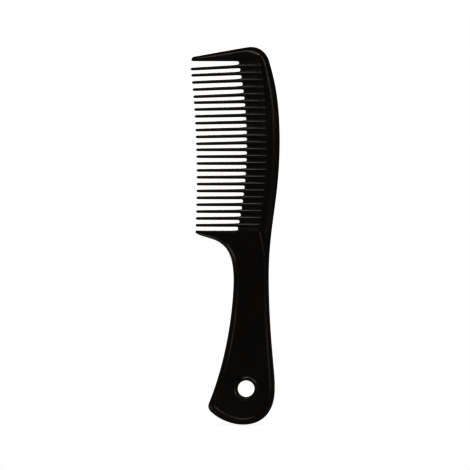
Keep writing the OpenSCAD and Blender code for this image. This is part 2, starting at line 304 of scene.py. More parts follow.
# clockwise from the spine: points, outer curve, its begin and end parameter, inner curve
BEAD_RUNS = [
    (30, NECK, NECK_SPLIT, 1,
     curve([SEAT_BOTTOM, WEB_BOTTOM], -72, 9, IN_WAIST_R, -90, 10)),
    (72, curve(WAIST_R, -90, 30.8, BUTT_SIDE, -90, 8.5), 0, 1,
     curve(IN_WAIST_R, -90, 30.8, IN_BUTT_SIDE, -90, 8.5)),
    (44, curve(BUTT_SIDE, -90, 7, BUTT_END, 180, 16.3), 0, 1,
     curve(IN_BUTT_SIDE, -90, 6, IN_BUTT_END, 180, 13)),
    (22, curve(BUTT_END, 180, 6.5, HEEL, 139, 5.2), 0, 1,
     curve(IN_BUTT_END, 180, 5, IN_HEEL, 139, 4.2)),
    (16, curve(HEEL, 139, 3.2, HEEL_TOP, 68, 2.5), 0, 1,
     curve(IN_HEEL, 139, 1.6, IN_HEEL_TOP, 68, 1.4)),
    (84, curve(HEEL_TOP, 68, 35, WAIST_L, 90, 5), 0, 1,
     curve(IN_HEEL_TOP, 68, 35, IN_WAIST_L, 90, 5)),
    (12, SHOULDER, 0, SHOULDER_SPLIT,
     curve(IN_WAIST_L, 90, 3, IN_SHOULDER, 99, 3)),
]


def bead_outline():
    outer, inner = [], []
    for k, (count, outer_curve, begin, end, inner_curve) in enumerate(BEAD_RUNS):
        last = k == len(BEAD_RUNS) - 1
        outer.append(along(outer_curve, count, begin, end, last))
        inner.append(along(inner_curve, count, last=last))
    return np.vstack(outer), np.vstack(inner)


ARMPIT = np.array([-6.5, WEB_BOTTOM])      # where the guard's upper edge meets the panel
LOW_COUNT = 56
# places on the bottom guard tooth: 17 at the handle, 0 at the tip
LOW_PLACE = (1 - steps(LOW_COUNT, last=True)) * 17
PLACE_EDGE, PLACE_ARMPIT = 12, 14


def bottom_guard_outline():
    outer = along(SHOULDER, LOW_COUNT, begin=SHOULDER_SPLIT, last=True)
    inner = np.zeros_like(outer)
    for k, place in enumerate(LOW_PLACE):
        if place <= PLACE_EDGE:
            inner[k] = [outer[k, 0], WEB_BOTTOM]
        elif place <= PLACE_ARMPIT:
            inner[k] = [mix(outer[k, 0], ARMPIT[0], (place - PLACE_EDGE) / 2), WEB_BOTTOM]
        else:
            inner[k] = ARMPIT + (IN_SHOULDER - ARMPIT) * (place - PLACE_ARMPIT) / 3
    # the last two points round the tip
    inner[-1] = [outer[-1, 0] + 0.05, WEB_BOTTOM - 0.45]
    inner[-2] = [outer[-2, 0] + 0.03, WEB_BOTTOM - 0.12]
    return outer, inner


def join_outlines(outlines):
    """One strip from all pieces; neighbours share a station. Also each piece's station span."""
    outer, inner, spans = [], [], {}
    start = 0
    for name, (piece_outer, piece_inner) in outlines.items():
        spans[name] = (start, start + len(piece_outer) - 1)
        start = spans[name][1]
        skip = 1 if outer else 0
        outer.append(piece_outer[skip:])
        inner.append(piece_inner[skip:])
    return np.vstack(outer), np.vstack(inner), spans


OUTER, INNER, SPANS = join_outlines({
    "top_guard_tooth": top_guard_outline(),
    "spine": spine_outline(),
    "handle_bead": bead_outline(),
    "bottom_guard_tooth": bottom_guard_outline(),
})
N_STATIONS = len(OUTER)
ARC = np.concatenate([[0], np.cumsum(np.linalg.norm(np.diff(OUTER, axis=0), axis=1))])
ARC_SPINE, ARC_BEAD, ARC_LOW = (
    ARC[SPANS[name][0]] for name in ("spine", "handle_bead", "bottom_guard_tooth"))
SLOT_X_TOP = float(slot_x(WEB_TOP))


# ---------------------------------------------------------------------------
# Cross-sections of the strip. A section shape has:
#   rounding, power  depth and exponent of the rounding from the outer edge
#   edge             height at which that rounding starts
#   inner            width of the fall to the inner edge
#   crown            half thickness at the top of the rounding
#   joined           1 where the inner edge borders the web or panel, 0 where it is free
#   side             half thickness of what the inner edge borders
#   level            half thickness before the inner edge
# ---------------------------------------------------------------------------

BEAD_ROUNDING = dict(depth=1.45, edge=0.85, inner=1.42)
SPINE_ROUNDING = dict(depth=4.3, power=1.38, edge=0.6, inner=1.3)
BEAD_POWER = 2.2
BEAD_TOP, BEAD_FALL = 1.48, 1.42        # where the bead's crown ends, and the width of its fall


def web_base(x, z):
    """Half thickness of the web between the ribs; it thickens a little before the spine."""
    thickening, before_seat, run = 0.30, 3.1, 1.0
    return WEB_HALF + thickening * float(
        ramp_01((x - float(seat_bow(z)) + before_seat) / run, rounding=0.3))


def top_guard_shape(s):
    f = (OUTER[s, 0] - OUTER[0, 0]) / (JOINT[0] - OUTER[0, 0])
    crown = mix(1.2, GUARD_HALF, f * 1.4) * mix(0.42, 1, math.sqrt(min(1, f * 14)))
    crown = mix(crown, SPINE_HALF, ease((f - 0.8) / 0.2))
    to_spine = float(ease((f - 0.72) / 0.28))
    return SimpleNamespace(
        rounding=mix(2.6, SPINE_ROUNDING["depth"], to_spine),
        power=mix(2.2, SPINE_ROUNDING["power"], to_spine),
        edge=mix(0.4, SPINE_ROUNDING["edge"], f),
        inner=mix(0.8, SPINE_ROUNDING["inner"], f),
        crown=crown,
        joined=float(ease((INNER[s, 0] - SLOT_X_TOP + 1.3) / 1.2)),
        side=web_base(INNER[s, 0], WEB_TOP),
        level=crown)


def spine_shape(s):
    f = (ARC[s] - ARC_SPINE) / (ARC_BEAD - ARC_SPINE)
    return SimpleNamespace(
        rounding=SPINE_ROUNDING["depth"],
        power=SPINE_ROUNDING["power"],
        edge=SPINE_ROUNDING["edge"],
        inner=SPINE_ROUNDING["inner"],
        crown=SPINE_HALF,
        joined=1.0,
        side=mix(web_base(*INNER[s]), PANEL_HALF, ease((f - 0.985) / 0.015)),
        level=SPINE_HALF)


def bead_shape(s):
    f = min(1.0, (s - SPANS["handle_bead"][0]) / BEAD_RUNS[0][0])
    low = float(np.clip((-4 - OUTER[s, 1]) / 10, 0, 1))      # 1 at the butt end
    depth = mix(BEAD_ROUNDING["depth"], 2.25, low)
    inner = mix(SPINE_ROUNDING["inner"], BEAD_ROUNDING["inner"], f)
    return SimpleNamespace(
        rounding=mix(SPINE_ROUNDING["depth"], depth, f),
        power=mix(SPINE_ROUNDING["power"], BEAD_POWER, f),
        edge=mix(SPINE_ROUNDING["edge"], BEAD_ROUNDING["edge"], f),
        inner=mix(inner, 1.12, low),
        crown=BEAD_HALF,
        joined=1.0,
        side=PANEL_HALF,
        level=BEAD_HALF)


def on_web_bottom(s):
    return abs(INNER[s, 1] - WEB_BOTTOM) < 1e-6


def bottom_guard_shape(s):
    f = (ARC[s] - ARC_LOW) / (ARC[-1] - ARC_LOW)
    x = INNER[s, 0]
    crown = mix(BEAD_HALF, 2.0, f * 1.6) if f < 0.62 else mix(2.0, 1.2, (f - 0.62) / 0.38)
    crown *= mix(0.42, 1, math.sqrt(max(0.0, min(1, (1 - f) * 16))))
    if on_web_bottom(s):
        joined = 1.0 - float(ease(ARMPIT[0] - x))
    else:
        joined = 1.0 if f < 0.5 else 0.0
    return SimpleNamespace(
        rounding=mix(BEAD_ROUNDING["depth"], 2.4, f * 2),
        power=BEAD_POWER,
        edge=mix(BEAD_ROUNDING["edge"], 0.4, f * 1.5),
        inner=mix(BEAD_ROUNDING["inner"], 0.8, f * 2.2),
        crown=crown,
        joined=joined,
        side=PANEL_HALF,
        level=mix(PANEL_HALF, crown, float(ease((ARMPIT[0] + 2.5 - x) / 9.0))))


def section_shape(s, width):
    if ARC[s] <= ARC_SPINE:
        shape = top_guard_shape(s)
    elif ARC[s] <= ARC_BEAD:
        shape = spine_shape(s)
    elif ARC[s] <= ARC_LOW:
        shape = bead_shape(s)
    else:
        shape = bottom_guard_shape(s)
    shape.rounding = min(shape.rounding, 0.55 * width)
    shape.edge = min(shape.edge, 0.5 * shape.crown)
    shape.inner = min(shape.inner, 0.45 * width)
    return shape


# spacing of the section's points over the edge, the rounding, the middle and the inner fall
EDGE_STEPS = 1 - np.cos(np.radians(np.array([0, 14, 28, 43, 59, 75, 90.0])))
RISE_STEPS = np.array([0.08, 0.17, 0.27, 0.38, 0.5, 0.62, 0.74, 0.87, 1.0])
MID_STEPS = np.array([0.1, 0.22, 0.36, 0.5, 0.64, 0.78, 0.9, 1.0])
FALL_STEPS = np.array([0, 0.1, 0.22, 0.36, 0.5, 0.64, 0.78, 0.9, 1.0])
N_OUTER = len(EDGE_STEPS) + len(RISE_STEPS)
N_SECTION = N_OUTER + len(MID_STEPS) + len(FALL_STEPS)


def front_section(s):
    """Front points of the section at station s, outer to inner edge, and how far it is joined."""
    width = float(np.linalg.norm(INNER[s] - OUTER[s]))
    shape = section_shape(s, width)
    crown, depth, edge, side = shape.crown, shape.rounding, shape.edge, shape.side
    fall_at = width - shape.inner

    edge_r = min(0.45, 0.3 * depth)
    outer_d = np.concatenate([edge_r * EDGE_STEPS, edge_r + (depth - edge_r) * RISE_STEPS])
    outer_h = edge + (crown - edge) * (1 - np.maximum(1 - outer_d / depth, 0) ** shape.power)
    n_edge = len(EDGE_STEPS)
    outer_h[:n_edge] = (LAND_HALF + (outer_h[:n_edge] - LAND_HALF)
                        * np.sqrt(1 - (1 - EDGE_STEPS) ** 2))

    fall_d = fall_at + shape.inner * mix(np.sin(np.radians(90) * FALL_STEPS), FALL_STEPS,
                                         shape.joined)
    if ARC[s] > ARC_LOW:
        # the bottom guard falls beside the bead, then runs on level
        top = min(max(BEAD_TOP, depth), fall_at)
        drop = min(BEAD_FALL, (fall_at - top) * 0.85)
        mid_d = np.concatenate([top + drop * MID_STEPS[:-1], [mix(top + drop, fall_at, 0.5)]])
        mid_h = crown + (shape.level - crown) * ramp_01((mid_d - BEAD_TOP) / BEAD_FALL)
        joined_h = crown + (shape.level - crown) * ramp_01((fall_d - BEAD_TOP) / BEAD_FALL)
        plateau = float(joined_h[0])
        if on_web_bottom(s):
            joined_h = side + (joined_h - side) * (1 - ramp_01(FALL_STEPS))
    else:
        mid_d = depth + (fall_at - depth) * (MID_STEPS * 0.9)
        mid_h = np.full(len(MID_STEPS), crown)
        joined_h = crown + (side - crown) * ramp_01(FALL_STEPS)
        plateau = crown
    free_h = LAND_HALF + (plateau - LAND_HALF) * np.cos(np.radians(90) * FALL_STEPS) ** (2 / 2.25)

    depths = np.concatenate([outer_d, mid_d, fall_d])
    heights = np.concatenate([outer_h, mid_h, mix(free_h, joined_h, shape.joined)])
    places = OUTER[s] + np.outer(depths / width, INNER[s] - OUTER[s])
    return np.stack([places[:, 0], -heights, places[:, 1]], 1), shape.joined


def grid_normals(grid):
    """Area-weighted vertex normals of a grid of points."""
    normals = np.zeros_like(grid)
    face = np.cross(grid[1:, 1:] - grid[:-1, :-1], grid[1:, :-1] - grid[:-1, 1:])
    near, far = slice(0, -1), slice(1, None)
    for corner in ((near, near), (near, far), (far, near), (far, far)):
        normals[corner] += face
    return normals / np.maximum(np.linalg.norm(normals, axis=2, keepdims=True), 1e-12)


def strip_normals():
    """Normals of the front; both faces are taken together so the rounding reads as one."""
    normals = grid_normals(np.concatenate([BACK[:, ::-1], FRONT], axis=1))
    if normals[N_STATIONS // 2, N_SECTION + N_OUTER] @ np.array([0, -1, 0]) < 0:
        normals = -normals
    normals = normals[:, N_SECTION:].copy()
    # where the inner edge borders the panel or the web, the surface runs on level
    for s in range(N_STATIONS):
        free = INNER[s] - OUTER[s]
        free = np.array([free[0], 0, free[1]]) / np.linalg.norm(free)
        edge = np.array([0, -1.0, 0]) * JOINED[s] + free * (1 - JOINED[s])
        normals[s, -1] = edge / np.linalg.norm(edge)
    return normals


sections = [front_section(s) for s in range(N_STATIONS)]
FRONT = np.array([points for points, _ in sections])
JOINED = np.array([joined for _, joined in sections])
BACK = FRONT * MIRROR
FRONT_N = strip_normals()
BACK_N = FRONT_N * MIRROR


# ---------------------------------------------------------------------------
# Mesh building
# ---------------------------------------------------------------------------

def area_vector(points):
    """Twice the area of a face, as a vector along its normal."""
    x = y = z = 0.0
    p = points[-1]
    for q in points:
        x += p[1] * q[2] - p[2] * q[1]
        y += p[2] * q[0] - p[0] * q[2]
        z += p[0] * q[1] - p[1] * q[0]
        p = q
    return x, y, z


class MeshBuilder:
    """Collects vertices, faces and per-corner normals, in millimetres."""

    def __init__(self):
        self.vertices, self.faces, self.normals, self.index = [], [], [], {}

    def vertex(self, point):
        key = tuple(round(float(c), 5) for c in point)
        if key not in self.index:
            self.index[key] = len(self.vertices)
            self.vertices.append(key)
        return self.index[key]

    def face(self, points, normals=None):
        """Adds a face without its repeated corners; flat if no normals are given."""
        ids, kept = [], []
        for k, point in enumerate(points):
            i = self.vertex(point)
            if i not in ids:
                ids.append(i)
                kept.append(None if normals is None else normals[k])
        if len(ids) < 3:
            return
        if normals is None:
            x, y, z = area_vector([self.vertices[i] for i in ids])
            size = max(math.sqrt(x ** 2 + y ** 2 + z ** 2), 1e-12)
            kept = [(x / size, y / size, z / size)] * len(ids)
        self.faces.append(ids)
        self.normals.append(kept)

    def face_towards(self, out, points, normals=None):
        """Adds a face with its corners in the order that makes it look along out."""
        points = [tuple(float(c) for c in p) for p in points]
        x, y, z = area_vector(points)
        if x * float(out[0]) + y * float(out[1]) + z * float(out[2]) < 0:
            points = points[::-1]
            normals = None if normals is None else normals[::-1]
        self.face(points, normals)

    def object(self, name, custom_normals=True):
        mesh = bpy.data.meshes.new(name)
        mesh.from_pydata([tuple(c * 0.001 for c in p) for p in self.vertices], [], self.faces)
        mesh.update()
        mesh.polygons.foreach_set("use_smooth", [True] * len(mesh.polygons))
        if custom_normals:
            mesh.normals_split_custom_set([tuple(n) for corners in self.normals for n in corners])
        mesh.validate()
        made = bpy.data.objects.new(name, mesh)
        bpy.context.scene.collection.objects.link(made)
        return made


# ---------------------------------------------------------------------------
# Guard teeth, spine and bead
# ---------------------------------------------------------------------------

def strip_piece(name):
    """One closed piece cut from the strip, with its hidden walls."""
    first, last = SPANS[name]
    mesh = MeshBuilder()
    for s in range(first, last):
        for points, normals in ((FRONT, FRONT_N), (BACK, BACK_N)):
            for k in range(N_SECTION - 1):
                quad = [s, s, s + 1, s + 1], [k, k + 1, k + 1, k]
                out = normals[s, k] + normals[s + 1, k + 1] + normals[s, k + 1]
                mesh.face_towards(out, points[quad], normals[quad])
        out = OUTER[s] - INNER[s]
        out = np.array([out[0], 0, out[1]])
        for k, side in ((0, out), (-1, -out)):
            corners = [FRONT[s, k], FRONT[s + 1, k], BACK[s + 1, k], BACK[s, k]]
            normals = [FRONT_N[s, k], FRONT_N[s + 1, k], BACK_N[s + 1, k], BACK_N[s, k]]
            # an inner edge that borders another piece gets a flat wall
            if k == -1 and not (JOINED[s] < 0.5 and JOINED[s + 1] < 0.5):
                normals = None
            mesh.face_towards(side, corners, normals)
    for s, sign in ((first, -1), (last, 1)):
        step = OUTER[min(s + 1, N_STATIONS - 1)] - OUTER[max(s - 1, 0)]
        out = np.array([step[0], 0, step[1]]) * sign
        end = out / np.linalg.norm(out)
        for k in range(N_SECTION - 1):
            normals = None
            if s in (0, N_STATIONS - 1):        # the guards' tips look rounded
                leaned = [n * 0.35 + end for n in
                          (FRONT_N[s, k], FRONT_N[s, k + 1], BACK_N[s, k + 1], BACK_N[s, k])]
                normals = [n / np.linalg.norm(n) for n in leaned]
            mesh.face_towards(
                out, [FRONT[s, k], FRONT[s, k + 1], BACK[s, k + 1], BACK[s, k]], normals)
    return mesh.object(name + "_skin")


# ---------------------------------------------------------------------------
# Ring round the hang hole
# ---------------------------------------------------------------------------

def ring_profile():
    """Front half of the ring's profile as (radius, height), with normals alike."""
    lip_r = HOLE_R + 1.0
    wall = HOLE_WALL / 2
    points = [(HOLE_R, 0.0), (HOLE_R, wall * 0.6), (HOLE_R, wall)]
    normals = [(-1, 0)] * 3
    for degrees in np.linspace(0, 90, 10)[1:]:
        c, s = heading(degrees)
        points.append((HOLE_R + (lip_r - HOLE_R) * (1 - c), wall + (RING_HALF - wall) * s))
        n = np.array([-c * (RING_HALF - wall), s * (lip_r - HOLE_R)])
        normals.append(tuple(n / np.linalg.norm(n)))
    rise = RING_HALF - PANEL_HALF
    for t in np.linspace(0, 1, 15)[1:]:
        points.append((lip_r + (RING_R - lip_r) * t,
                       float(PANEL_HALF + rise * (1 - float(ramp_01(t))))))
        change = float(ramp_01(t + 0.01) - ramp_01(t - 0.01)) / 0.02
        n = np.array([rise * change / (RING_R - lip_r), 1.0])
        normals.append(tuple(n / np.linalg.norm(n)))
    return points, normals


def hang_hole_ring():
    """The hole's wall, its rounded lip and the raised ring, turned about Y."""
    points, normals = ring_profile()
    points = [(r, -h) for r, h in points[::-1]] + points[1:]
    normals = [(r, -h) for r, h in normals[::-1]] + normals[1:]

    def turned(radius, height, angle):
        return np.array([radius * math.cos(angle), height, radius * math.sin(angle)])

    mesh = MeshBuilder()
    for k in range(RING_SEGMENTS):
        a0, a1 = (2 * math.pi * j / RING_SEGMENTS for j in (k, k + 1))
        for m in range(len(points) - 1):
            corners = ((a0, m), (a0, m + 1), (a1, m + 1), (a1, m))
            corner_normals = [turned(*normals[j], a) for a, j in corners]
            mesh.face_towards(sum(corner_normals), [turned(*points[j], a) for a, j in corners],
                              corner_normals)
        mesh.face_towards(
            turned(1, 0, a0),
            [turned(RING_R, -PANEL_HALF, a0), turned(RING_R, PANEL_HALF, a0),
             turned(RING_R, PANEL_HALF, a1), turned(RING_R, -PANEL_HALF, a1)])
    return mesh.object("hang_hole_ring_lip")


# ---------------------------------------------------------------------------
# Handle panel
# ---------------------------------------------------------------------------

def inside(point, outline):
    x, y = point
    x0, y0 = outline[:, 0], outline[:, 1]
    x1, y1 = np.roll(x0, -1), np.roll(y0, -1)
    hit = (y0 > y) != (y1 > y)
    with np.errstate(divide="ignore", invalid="ignore"):
        cross_x = (x1 - x0) * (y - y0) / (y1 - y0) + x0
    return bool(np.count_nonzero(hit & (x < cross_x)) % 2)


def outline_distance(point, outline):
    side = np.roll(outline, -1, axis=0) - outline
    t = ((point - outline) * side).sum(1) / np.maximum((side ** 2).sum(1), 1e-12)
    nearest = outline + np.clip(t, 0, 1)[:, None] * side
    return float(np.sqrt(((point - nearest) ** 2).sum(1)).min())


def circle(radius, count):
    return [(radius * math.cos(2 * math.pi * k / count), radius * math.sin(2 * math.pi * k / count))
            for k in range(count)]


def panel_outline():
    """Inner line of the bead, the root of the bottom guard and the web's lower side."""
    first, last = SPANS["handle_bead"]
    points = [tuple(p) for p in INNER[first:last + 1]]
    points += [tuple(INNER[last + k]) for k in range(1, LOW_COUNT + 1)
               if LOW_PLACE[k] > PLACE_ARMPIT]
    points.append(tuple(ARMPIT))
    top_count = 22
    points += [(ARMPIT[0] + (SEAT_BOTTOM - ARMPIT[0]) * k / top_count, WEB_BOTTOM)
               for k in range(1, top_count)]
    outline = [points[0]]
    for p in points[1:]:
        if math.dist(p, outline[-1]) > 1e-4 and math.dist(p, outline[0]) > 1e-4:
            outline.append(p)
    return outline


def panel_fill(outline):
    """Inner points of the panel: a triangle grid, and a circle close to the ring."""
    spacing, edge_room, ring_room = 1.7, 0.8, 0.9
    points = []
    row = 0
    z = outline[:, 1].min() + 0.8
    while z < outline[:, 1].max() - 0.5:
        x = outline[:, 0].min() + (spacing / 2 if row % 2 else 0)
        while x < outline[:, 0].max():
            p = np.array([x, z])
            if (inside(p, outline) and np.hypot(*p) > RING_R + ring_room
                    and outline_distance(p, outline) > edge_room):
                points.append(tuple(p))
            x += spacing
        z += spacing * 0.866
        row += 1
    return points + circle(RING_R + 0.6, 60)


def panel_wall(mesh, p, q, out):
    mesh.face_towards((out[0], 0, out[1]),
                      [(p[0], -PANEL_HALF, p[1]), (q[0], -PANEL_HALF, q[1]),
                       (q[0], PANEL_HALF, q[1]), (p[0], PANEL_HALF, p[1])])


def handle_panel():
    """Flat middle of the handle, between the bead and the ring."""
    edge = panel_outline()
    outline = np.array(edge)
    ring = circle(RING_R, RING_SEGMENTS)
    source = edge + ring + panel_fill(outline)
    n_edge, n_ring = len(edge), len(ring)
    fixed = [(k, (k + 1) % n_edge) for k in range(n_edge)]
    fixed += [(n_edge + k, n_edge + (k + 1) % n_ring) for k in range(n_ring)]
    verts, _, triangles, origins = delaunay_2d_cdt(
        [Vector(p) for p in source], fixed, [], 0, 1e-6)[:4]
    places = [source[origin[0]] if len(origin) else (v.x, v.y)
              for v, origin in zip(verts, origins)]

    mesh = MeshBuilder()
    hole_r = RING_R * math.cos(math.pi / RING_SEGMENTS) - 1e-3
    for triangle in triangles:
        middle = np.mean([places[k] for k in triangle], axis=0)
        if not inside(middle, outline) or np.hypot(*middle) < hole_r:
            continue
        for sign in (-1.0, 1.0):
            normal = (0, sign, 0)
            mesh.face_towards(
                normal, [(places[k][0], sign * PANEL_HALF, places[k][1]) for k in triangle],
                [normal] * len(triangle))
    for k in range(n_edge):
        p, q = edge[k], edge[(k + 1) % n_edge]
        out = np.array([q[1] - p[1], -(q[0] - p[0])])
        out = out / np.linalg.norm(out)
        if inside((np.array(p) + q) / 2 + out * 0.01, outline):
            out = -out
        panel_wall(mesh, p, q, out)
    for k in range(n_ring):
        p = ring[k]
        panel_wall(mesh, p, ring[(k + 1) % n_ring], (-p[0], -p[1]))
    return mesh.object("handle_panel_skin")


# ---------------------------------------------------------------------------
# Ribbed web. Each gap has a cell: a grid with columns fanned round the gap's closed end and
# rows that run over its rounded edge (nose) and on to the spine.
# ---------------------------------------------------------------------------

COLUMN_ANGLES = np.radians([90, 84, 76, 66, 54, 40, 24, 8, -8, -24, -40, -54, -66, -76, -84, -90])
NOSE_ANGLES = np.radians([0, 20, 40, 60, 76, 90])
NOSE_DEPTH = 0.8
ROW_STEPS = np.array([0.06, 0.14, 0.24, 0.36, 0.48, 0.58, 0.64, 0.68,
                      0.71, 0.74, 0.77, 0.80, 0.83, 0.88, 0.94, 1.0])
FAN_X = 9.0                 # columns are spaced evenly across the cell here
SEAT_OVERLAP = 0.3          # how far the web runs into the spine


def rib_half(x, z):
    """Half width of a tooth or its rib at x."""
    start = float(slot_x(z))
    return mix(ROOT_WIDTH / 2, RIB_WIDTH / 2, (x - start) / (float(seat_bow(z)) - start))


def web_height(x, z):
    """Half thickness of the web, with fillets along the ribs and a rise to the panel."""
    fillet_r, fillet_limit, panel_run = 0.34, 0.1, 1.0
    k = int(round((FIRST_Z - z) / PITCH))
    from_rib = min(abs(z - float(line_z(i, x))) for i in (k - 1, k, k + 1) if 0 <= i < N_TEETH)
    t = min(1.0, max(0.0, (float(rib_half(x, z)) * 0.97 + fillet_r - from_rib) / fillet_r))
    height = web_base(x, z)
    height += min(fillet_r * (1 - math.sqrt(max(0.0, 1 - t * t))), fillet_limit)
    to_panel = float(ease((WEB_BOTTOM + panel_run - z) / panel_run))
    return max(height, WEB_HALF + (PANEL_HALF - WEB_HALF) * to_panel)


def web_cell(k):
    def upper(x):
        return WEB_TOP if k == 0 else float(line_z(k - 1, x))

    def lower(x):
        return WEB_BOTTOM if k == N_TEETH else float(line_z(k, x))

    top, bottom = gap_top(k), gap_bottom(k)
    gap_z, gap_r = (top + bottom) / 2, (top - bottom) / 2
    gap_x = float(root_bow(gap_z)) - gap_r
    n_nose = len(NOSE_ANGLES)
    last_column = len(COLUMN_ANGLES) - 1
    grid = np.zeros((len(COLUMN_ANGLES), n_nose + len(ROW_STEPS), 3))
    for c, angle in enumerate(COLUMN_ANGLES):
        sine, cosine = math.sin(angle), math.cos(angle)
        # the nose doesn't widen past the web's own top and bottom
        at_border = (k == 0 and sine > 0) or (k == N_TEETH and sine < 0)
        for r, nose_angle in enumerate(NOSE_ANGLES):
            depth = NOSE_DEPTH * (1 - math.cos(nose_angle))
            x = gap_x + (gap_r + depth) * cosine
            z = gap_z + (gap_r + (0.0 if at_border else depth)) * sine
            height = web_height(x, z) if r == n_nose - 1 else WEB_HALF
            grid[c, r] = [x, -height * math.sin(nose_angle), z]
        # outermost columns follow the middle lines of the neighbouring ribs
        if c == 0:
            x = float(slot_x(upper(0))) if k else gap_x
            z = upper(x)
        if c == last_column:
            x = float(slot_x(lower(0))) if k < N_TEETH else gap_x
            z = lower(x)
        if c in (0, last_column):
            grid[c, n_nose - 1] = [x, -web_height(x, z), z]
        # columns fan out between those lines and never cross
        start_x = x
        start_f = (z - lower(x)) / (upper(x) - lower(x))
        end_f = (sine + 1) / 2
        seat_z = lower(FAN_X) + (upper(FAN_X) - lower(FAN_X)) * end_f
        end_x = float(seat_bow(seat_z)) + SEAT_OVERLAP
        for r, t in enumerate(ROW_STEPS):
            x = start_x + (end_x - start_x) * t
            z = lower(x) + (upper(x) - lower(x)) * (start_f + (end_f - start_f) * t)
            grid[c, n_nose + r] = [x, -web_height(x, z), z]
    return grid


def shared_normals(quads):
    """Function that gives the smooth normal at a point of a front sheet made of quads."""
    total = {}

    def key(p):
        return tuple(round(float(c), 4) for c in p)

    for quad in quads:
        n = np.cross(quad[2] - quad[0], quad[3] - quad[1])
        if n[1] > 0:
            n = -n
        for p in quad:
            total[key(p)] = total.get(key(p), 0) + n

    def normal(p):
        n = total[key(p)]
        size = np.linalg.norm(n)
        n = np.array([0, -1.0, 0]) if size < 1e-12 else n / size
        if abs(p[1]) < 1e-6:            # level on the middle plane, where front meets back
            n = np.array([n[0], 0, n[2]])
            n /= max(np.linalg.norm(n), 1e-9)
        return n

    return normal


def close_rim(mesh, line, out):
    """Joins a line of front points to its mirror image on the back."""
    for p, q in zip(line[:-1], line[1:]):
        mesh.face_towards(out, [p, q, q * MIRROR, p * MIRROR])


def rib_web():
    cells = [web_cell(k) for k in range(N_TEETH + 1)]
    columns, rows = cells[0].shape[:2]
    quads = [(g[c, r], g[c, r + 1], g[c + 1, r + 1], g[c + 1, r])
             for g in cells for c in range(columns - 1) for r in range(rows - 1)]
    normal_at = shared_normals(quads)
    mesh = MeshBuilder()
    for quad in quads:
        normals = [normal_at(p) for p in quad]
        out = sum(normals)
        mesh.face_towards(out, quad, normals)
        mesh.face_towards(out * MIRROR, [p * MIRROR for p in quad], [n * MIRROR for n in normals])
    # hidden faces inside each tooth's root
    for cell_above, cell_below in zip(cells[:-1], cells[1:]):
        a, b = cell_above[-1], cell_below[0]
        for r in range(len(NOSE_ANGLES) - 1):
            corners = [a[r], a[r + 1], b[r + 1], b[r]]
            mesh.face_towards((-1, 0, 0), corners)
            mesh.face_towards((-1, 0, 0), [p * MIRROR for p in corners])
    close_rim(mesh, cells[0][0], (0, 0, 1))
    close_rim(mesh, cells[-1][-1], (0, 0, -1))
    for cell in cells:
        close_rim(mesh, cell[:, -1], (1, 0, 0))
    return mesh.object("rib_web_skin")


# ---------------------------------------------------------------------------
# Teeth, each with the rib that carries it on across the web
# ---------------------------------------------------------------------------

def tooth(i):
    cap = 1.15                          # length of the rounded tip
    sides = 32
    z = tooth_z(i)
    root_x = float(slot_x(z))
    tip_x = float(tip_bow(line_z(i, TIP_X)))
    end_x = float(seat_bow(z)) + 0.9
    stations = np.concatenate([
        tip_x + cap * (1 - np.cos(np.radians(np.linspace(8, 90, 9)[:-1]))),
        tip_x + cap + (root_x - tip_x - cap) * np.linspace(0, 1, 18),
        root_x + (end_x - root_x) * np.linspace(0, 1, 25)[1:]])

    # squared-off ellipse for the free tooth
    angle = 2 * math.pi * np.arange(sides) / sides
    cosine, sine = np.cos(angle), np.sin(angle)
    exponent = 2 / 2.5
    across, up = np.abs(cosine) ** exponent, np.abs(sine) ** exponent

    rings = []
    for x in stations:
        f = np.clip((x - tip_x) / (root_x - tip_x), 0, 1)
        if x <= root_x:
            half_width = mix(TIP_WIDTH / 2, ROOT_WIDTH / 2, f ** 0.8)
            height = mix(TOOTH_TIP_HALF, TOOTH_HALF, f)
        else:
            half_width = rib_half(x, z)
            height = TOOTH_HALF
        if x < tip_x + cap:
            scale = math.sqrt(max(0.0, 1 - (1 - (x - tip_x) / cap) ** 2))
            half_width *= scale
            height *= 0.25 * scale + 0.75 * scale ** 1.6
        # the rib has a low roof-shaped back standing on the web
        eaves = min(max(height - 0.31, web_base(x, z) + 0.02), height)
        rib_y = np.where(up < 1e-6, 0, eaves + (height - eaves) * (1 - across ** 1.08))
        y = mix(height * up, rib_y, ease((x - root_x + 2.2) / 2.6))
        rings.append(np.stack([np.full(sides, x), y * np.sign(sine),
                               line_z(i, x) + half_width * across * np.sign(cosine)], 1))
    rings = np.array(rings)

    mesh = MeshBuilder()
    for r in range(len(rings) - 1):
        middle_z = float(line_z(i, stations[r]))
        for k in range(sides):
            k2 = (k + 1) % sides
            corners = [rings[r, k], rings[r, k2], rings[r + 1, k2], rings[r + 1, k]]
            centre = sum(corners) / 4
            mesh.face_towards((0.0, centre[1], centre[2] - middle_z), corners)
    tip = (tip_x, 0.0, float(line_z(i, tip_x)))
    for k in range(sides):
        mesh.face_towards((-1, 0, 0), [tip, rings[0, k], rings[0, (k + 1) % sides]])
    mesh.face_towards((1, 0, 0), rings[-1])
    return mesh.object(f"tooth_{i + 1:02d}", custom_normals=False)


# ---------------------------------------------------------------------------
# Shader nodes
# ---------------------------------------------------------------------------

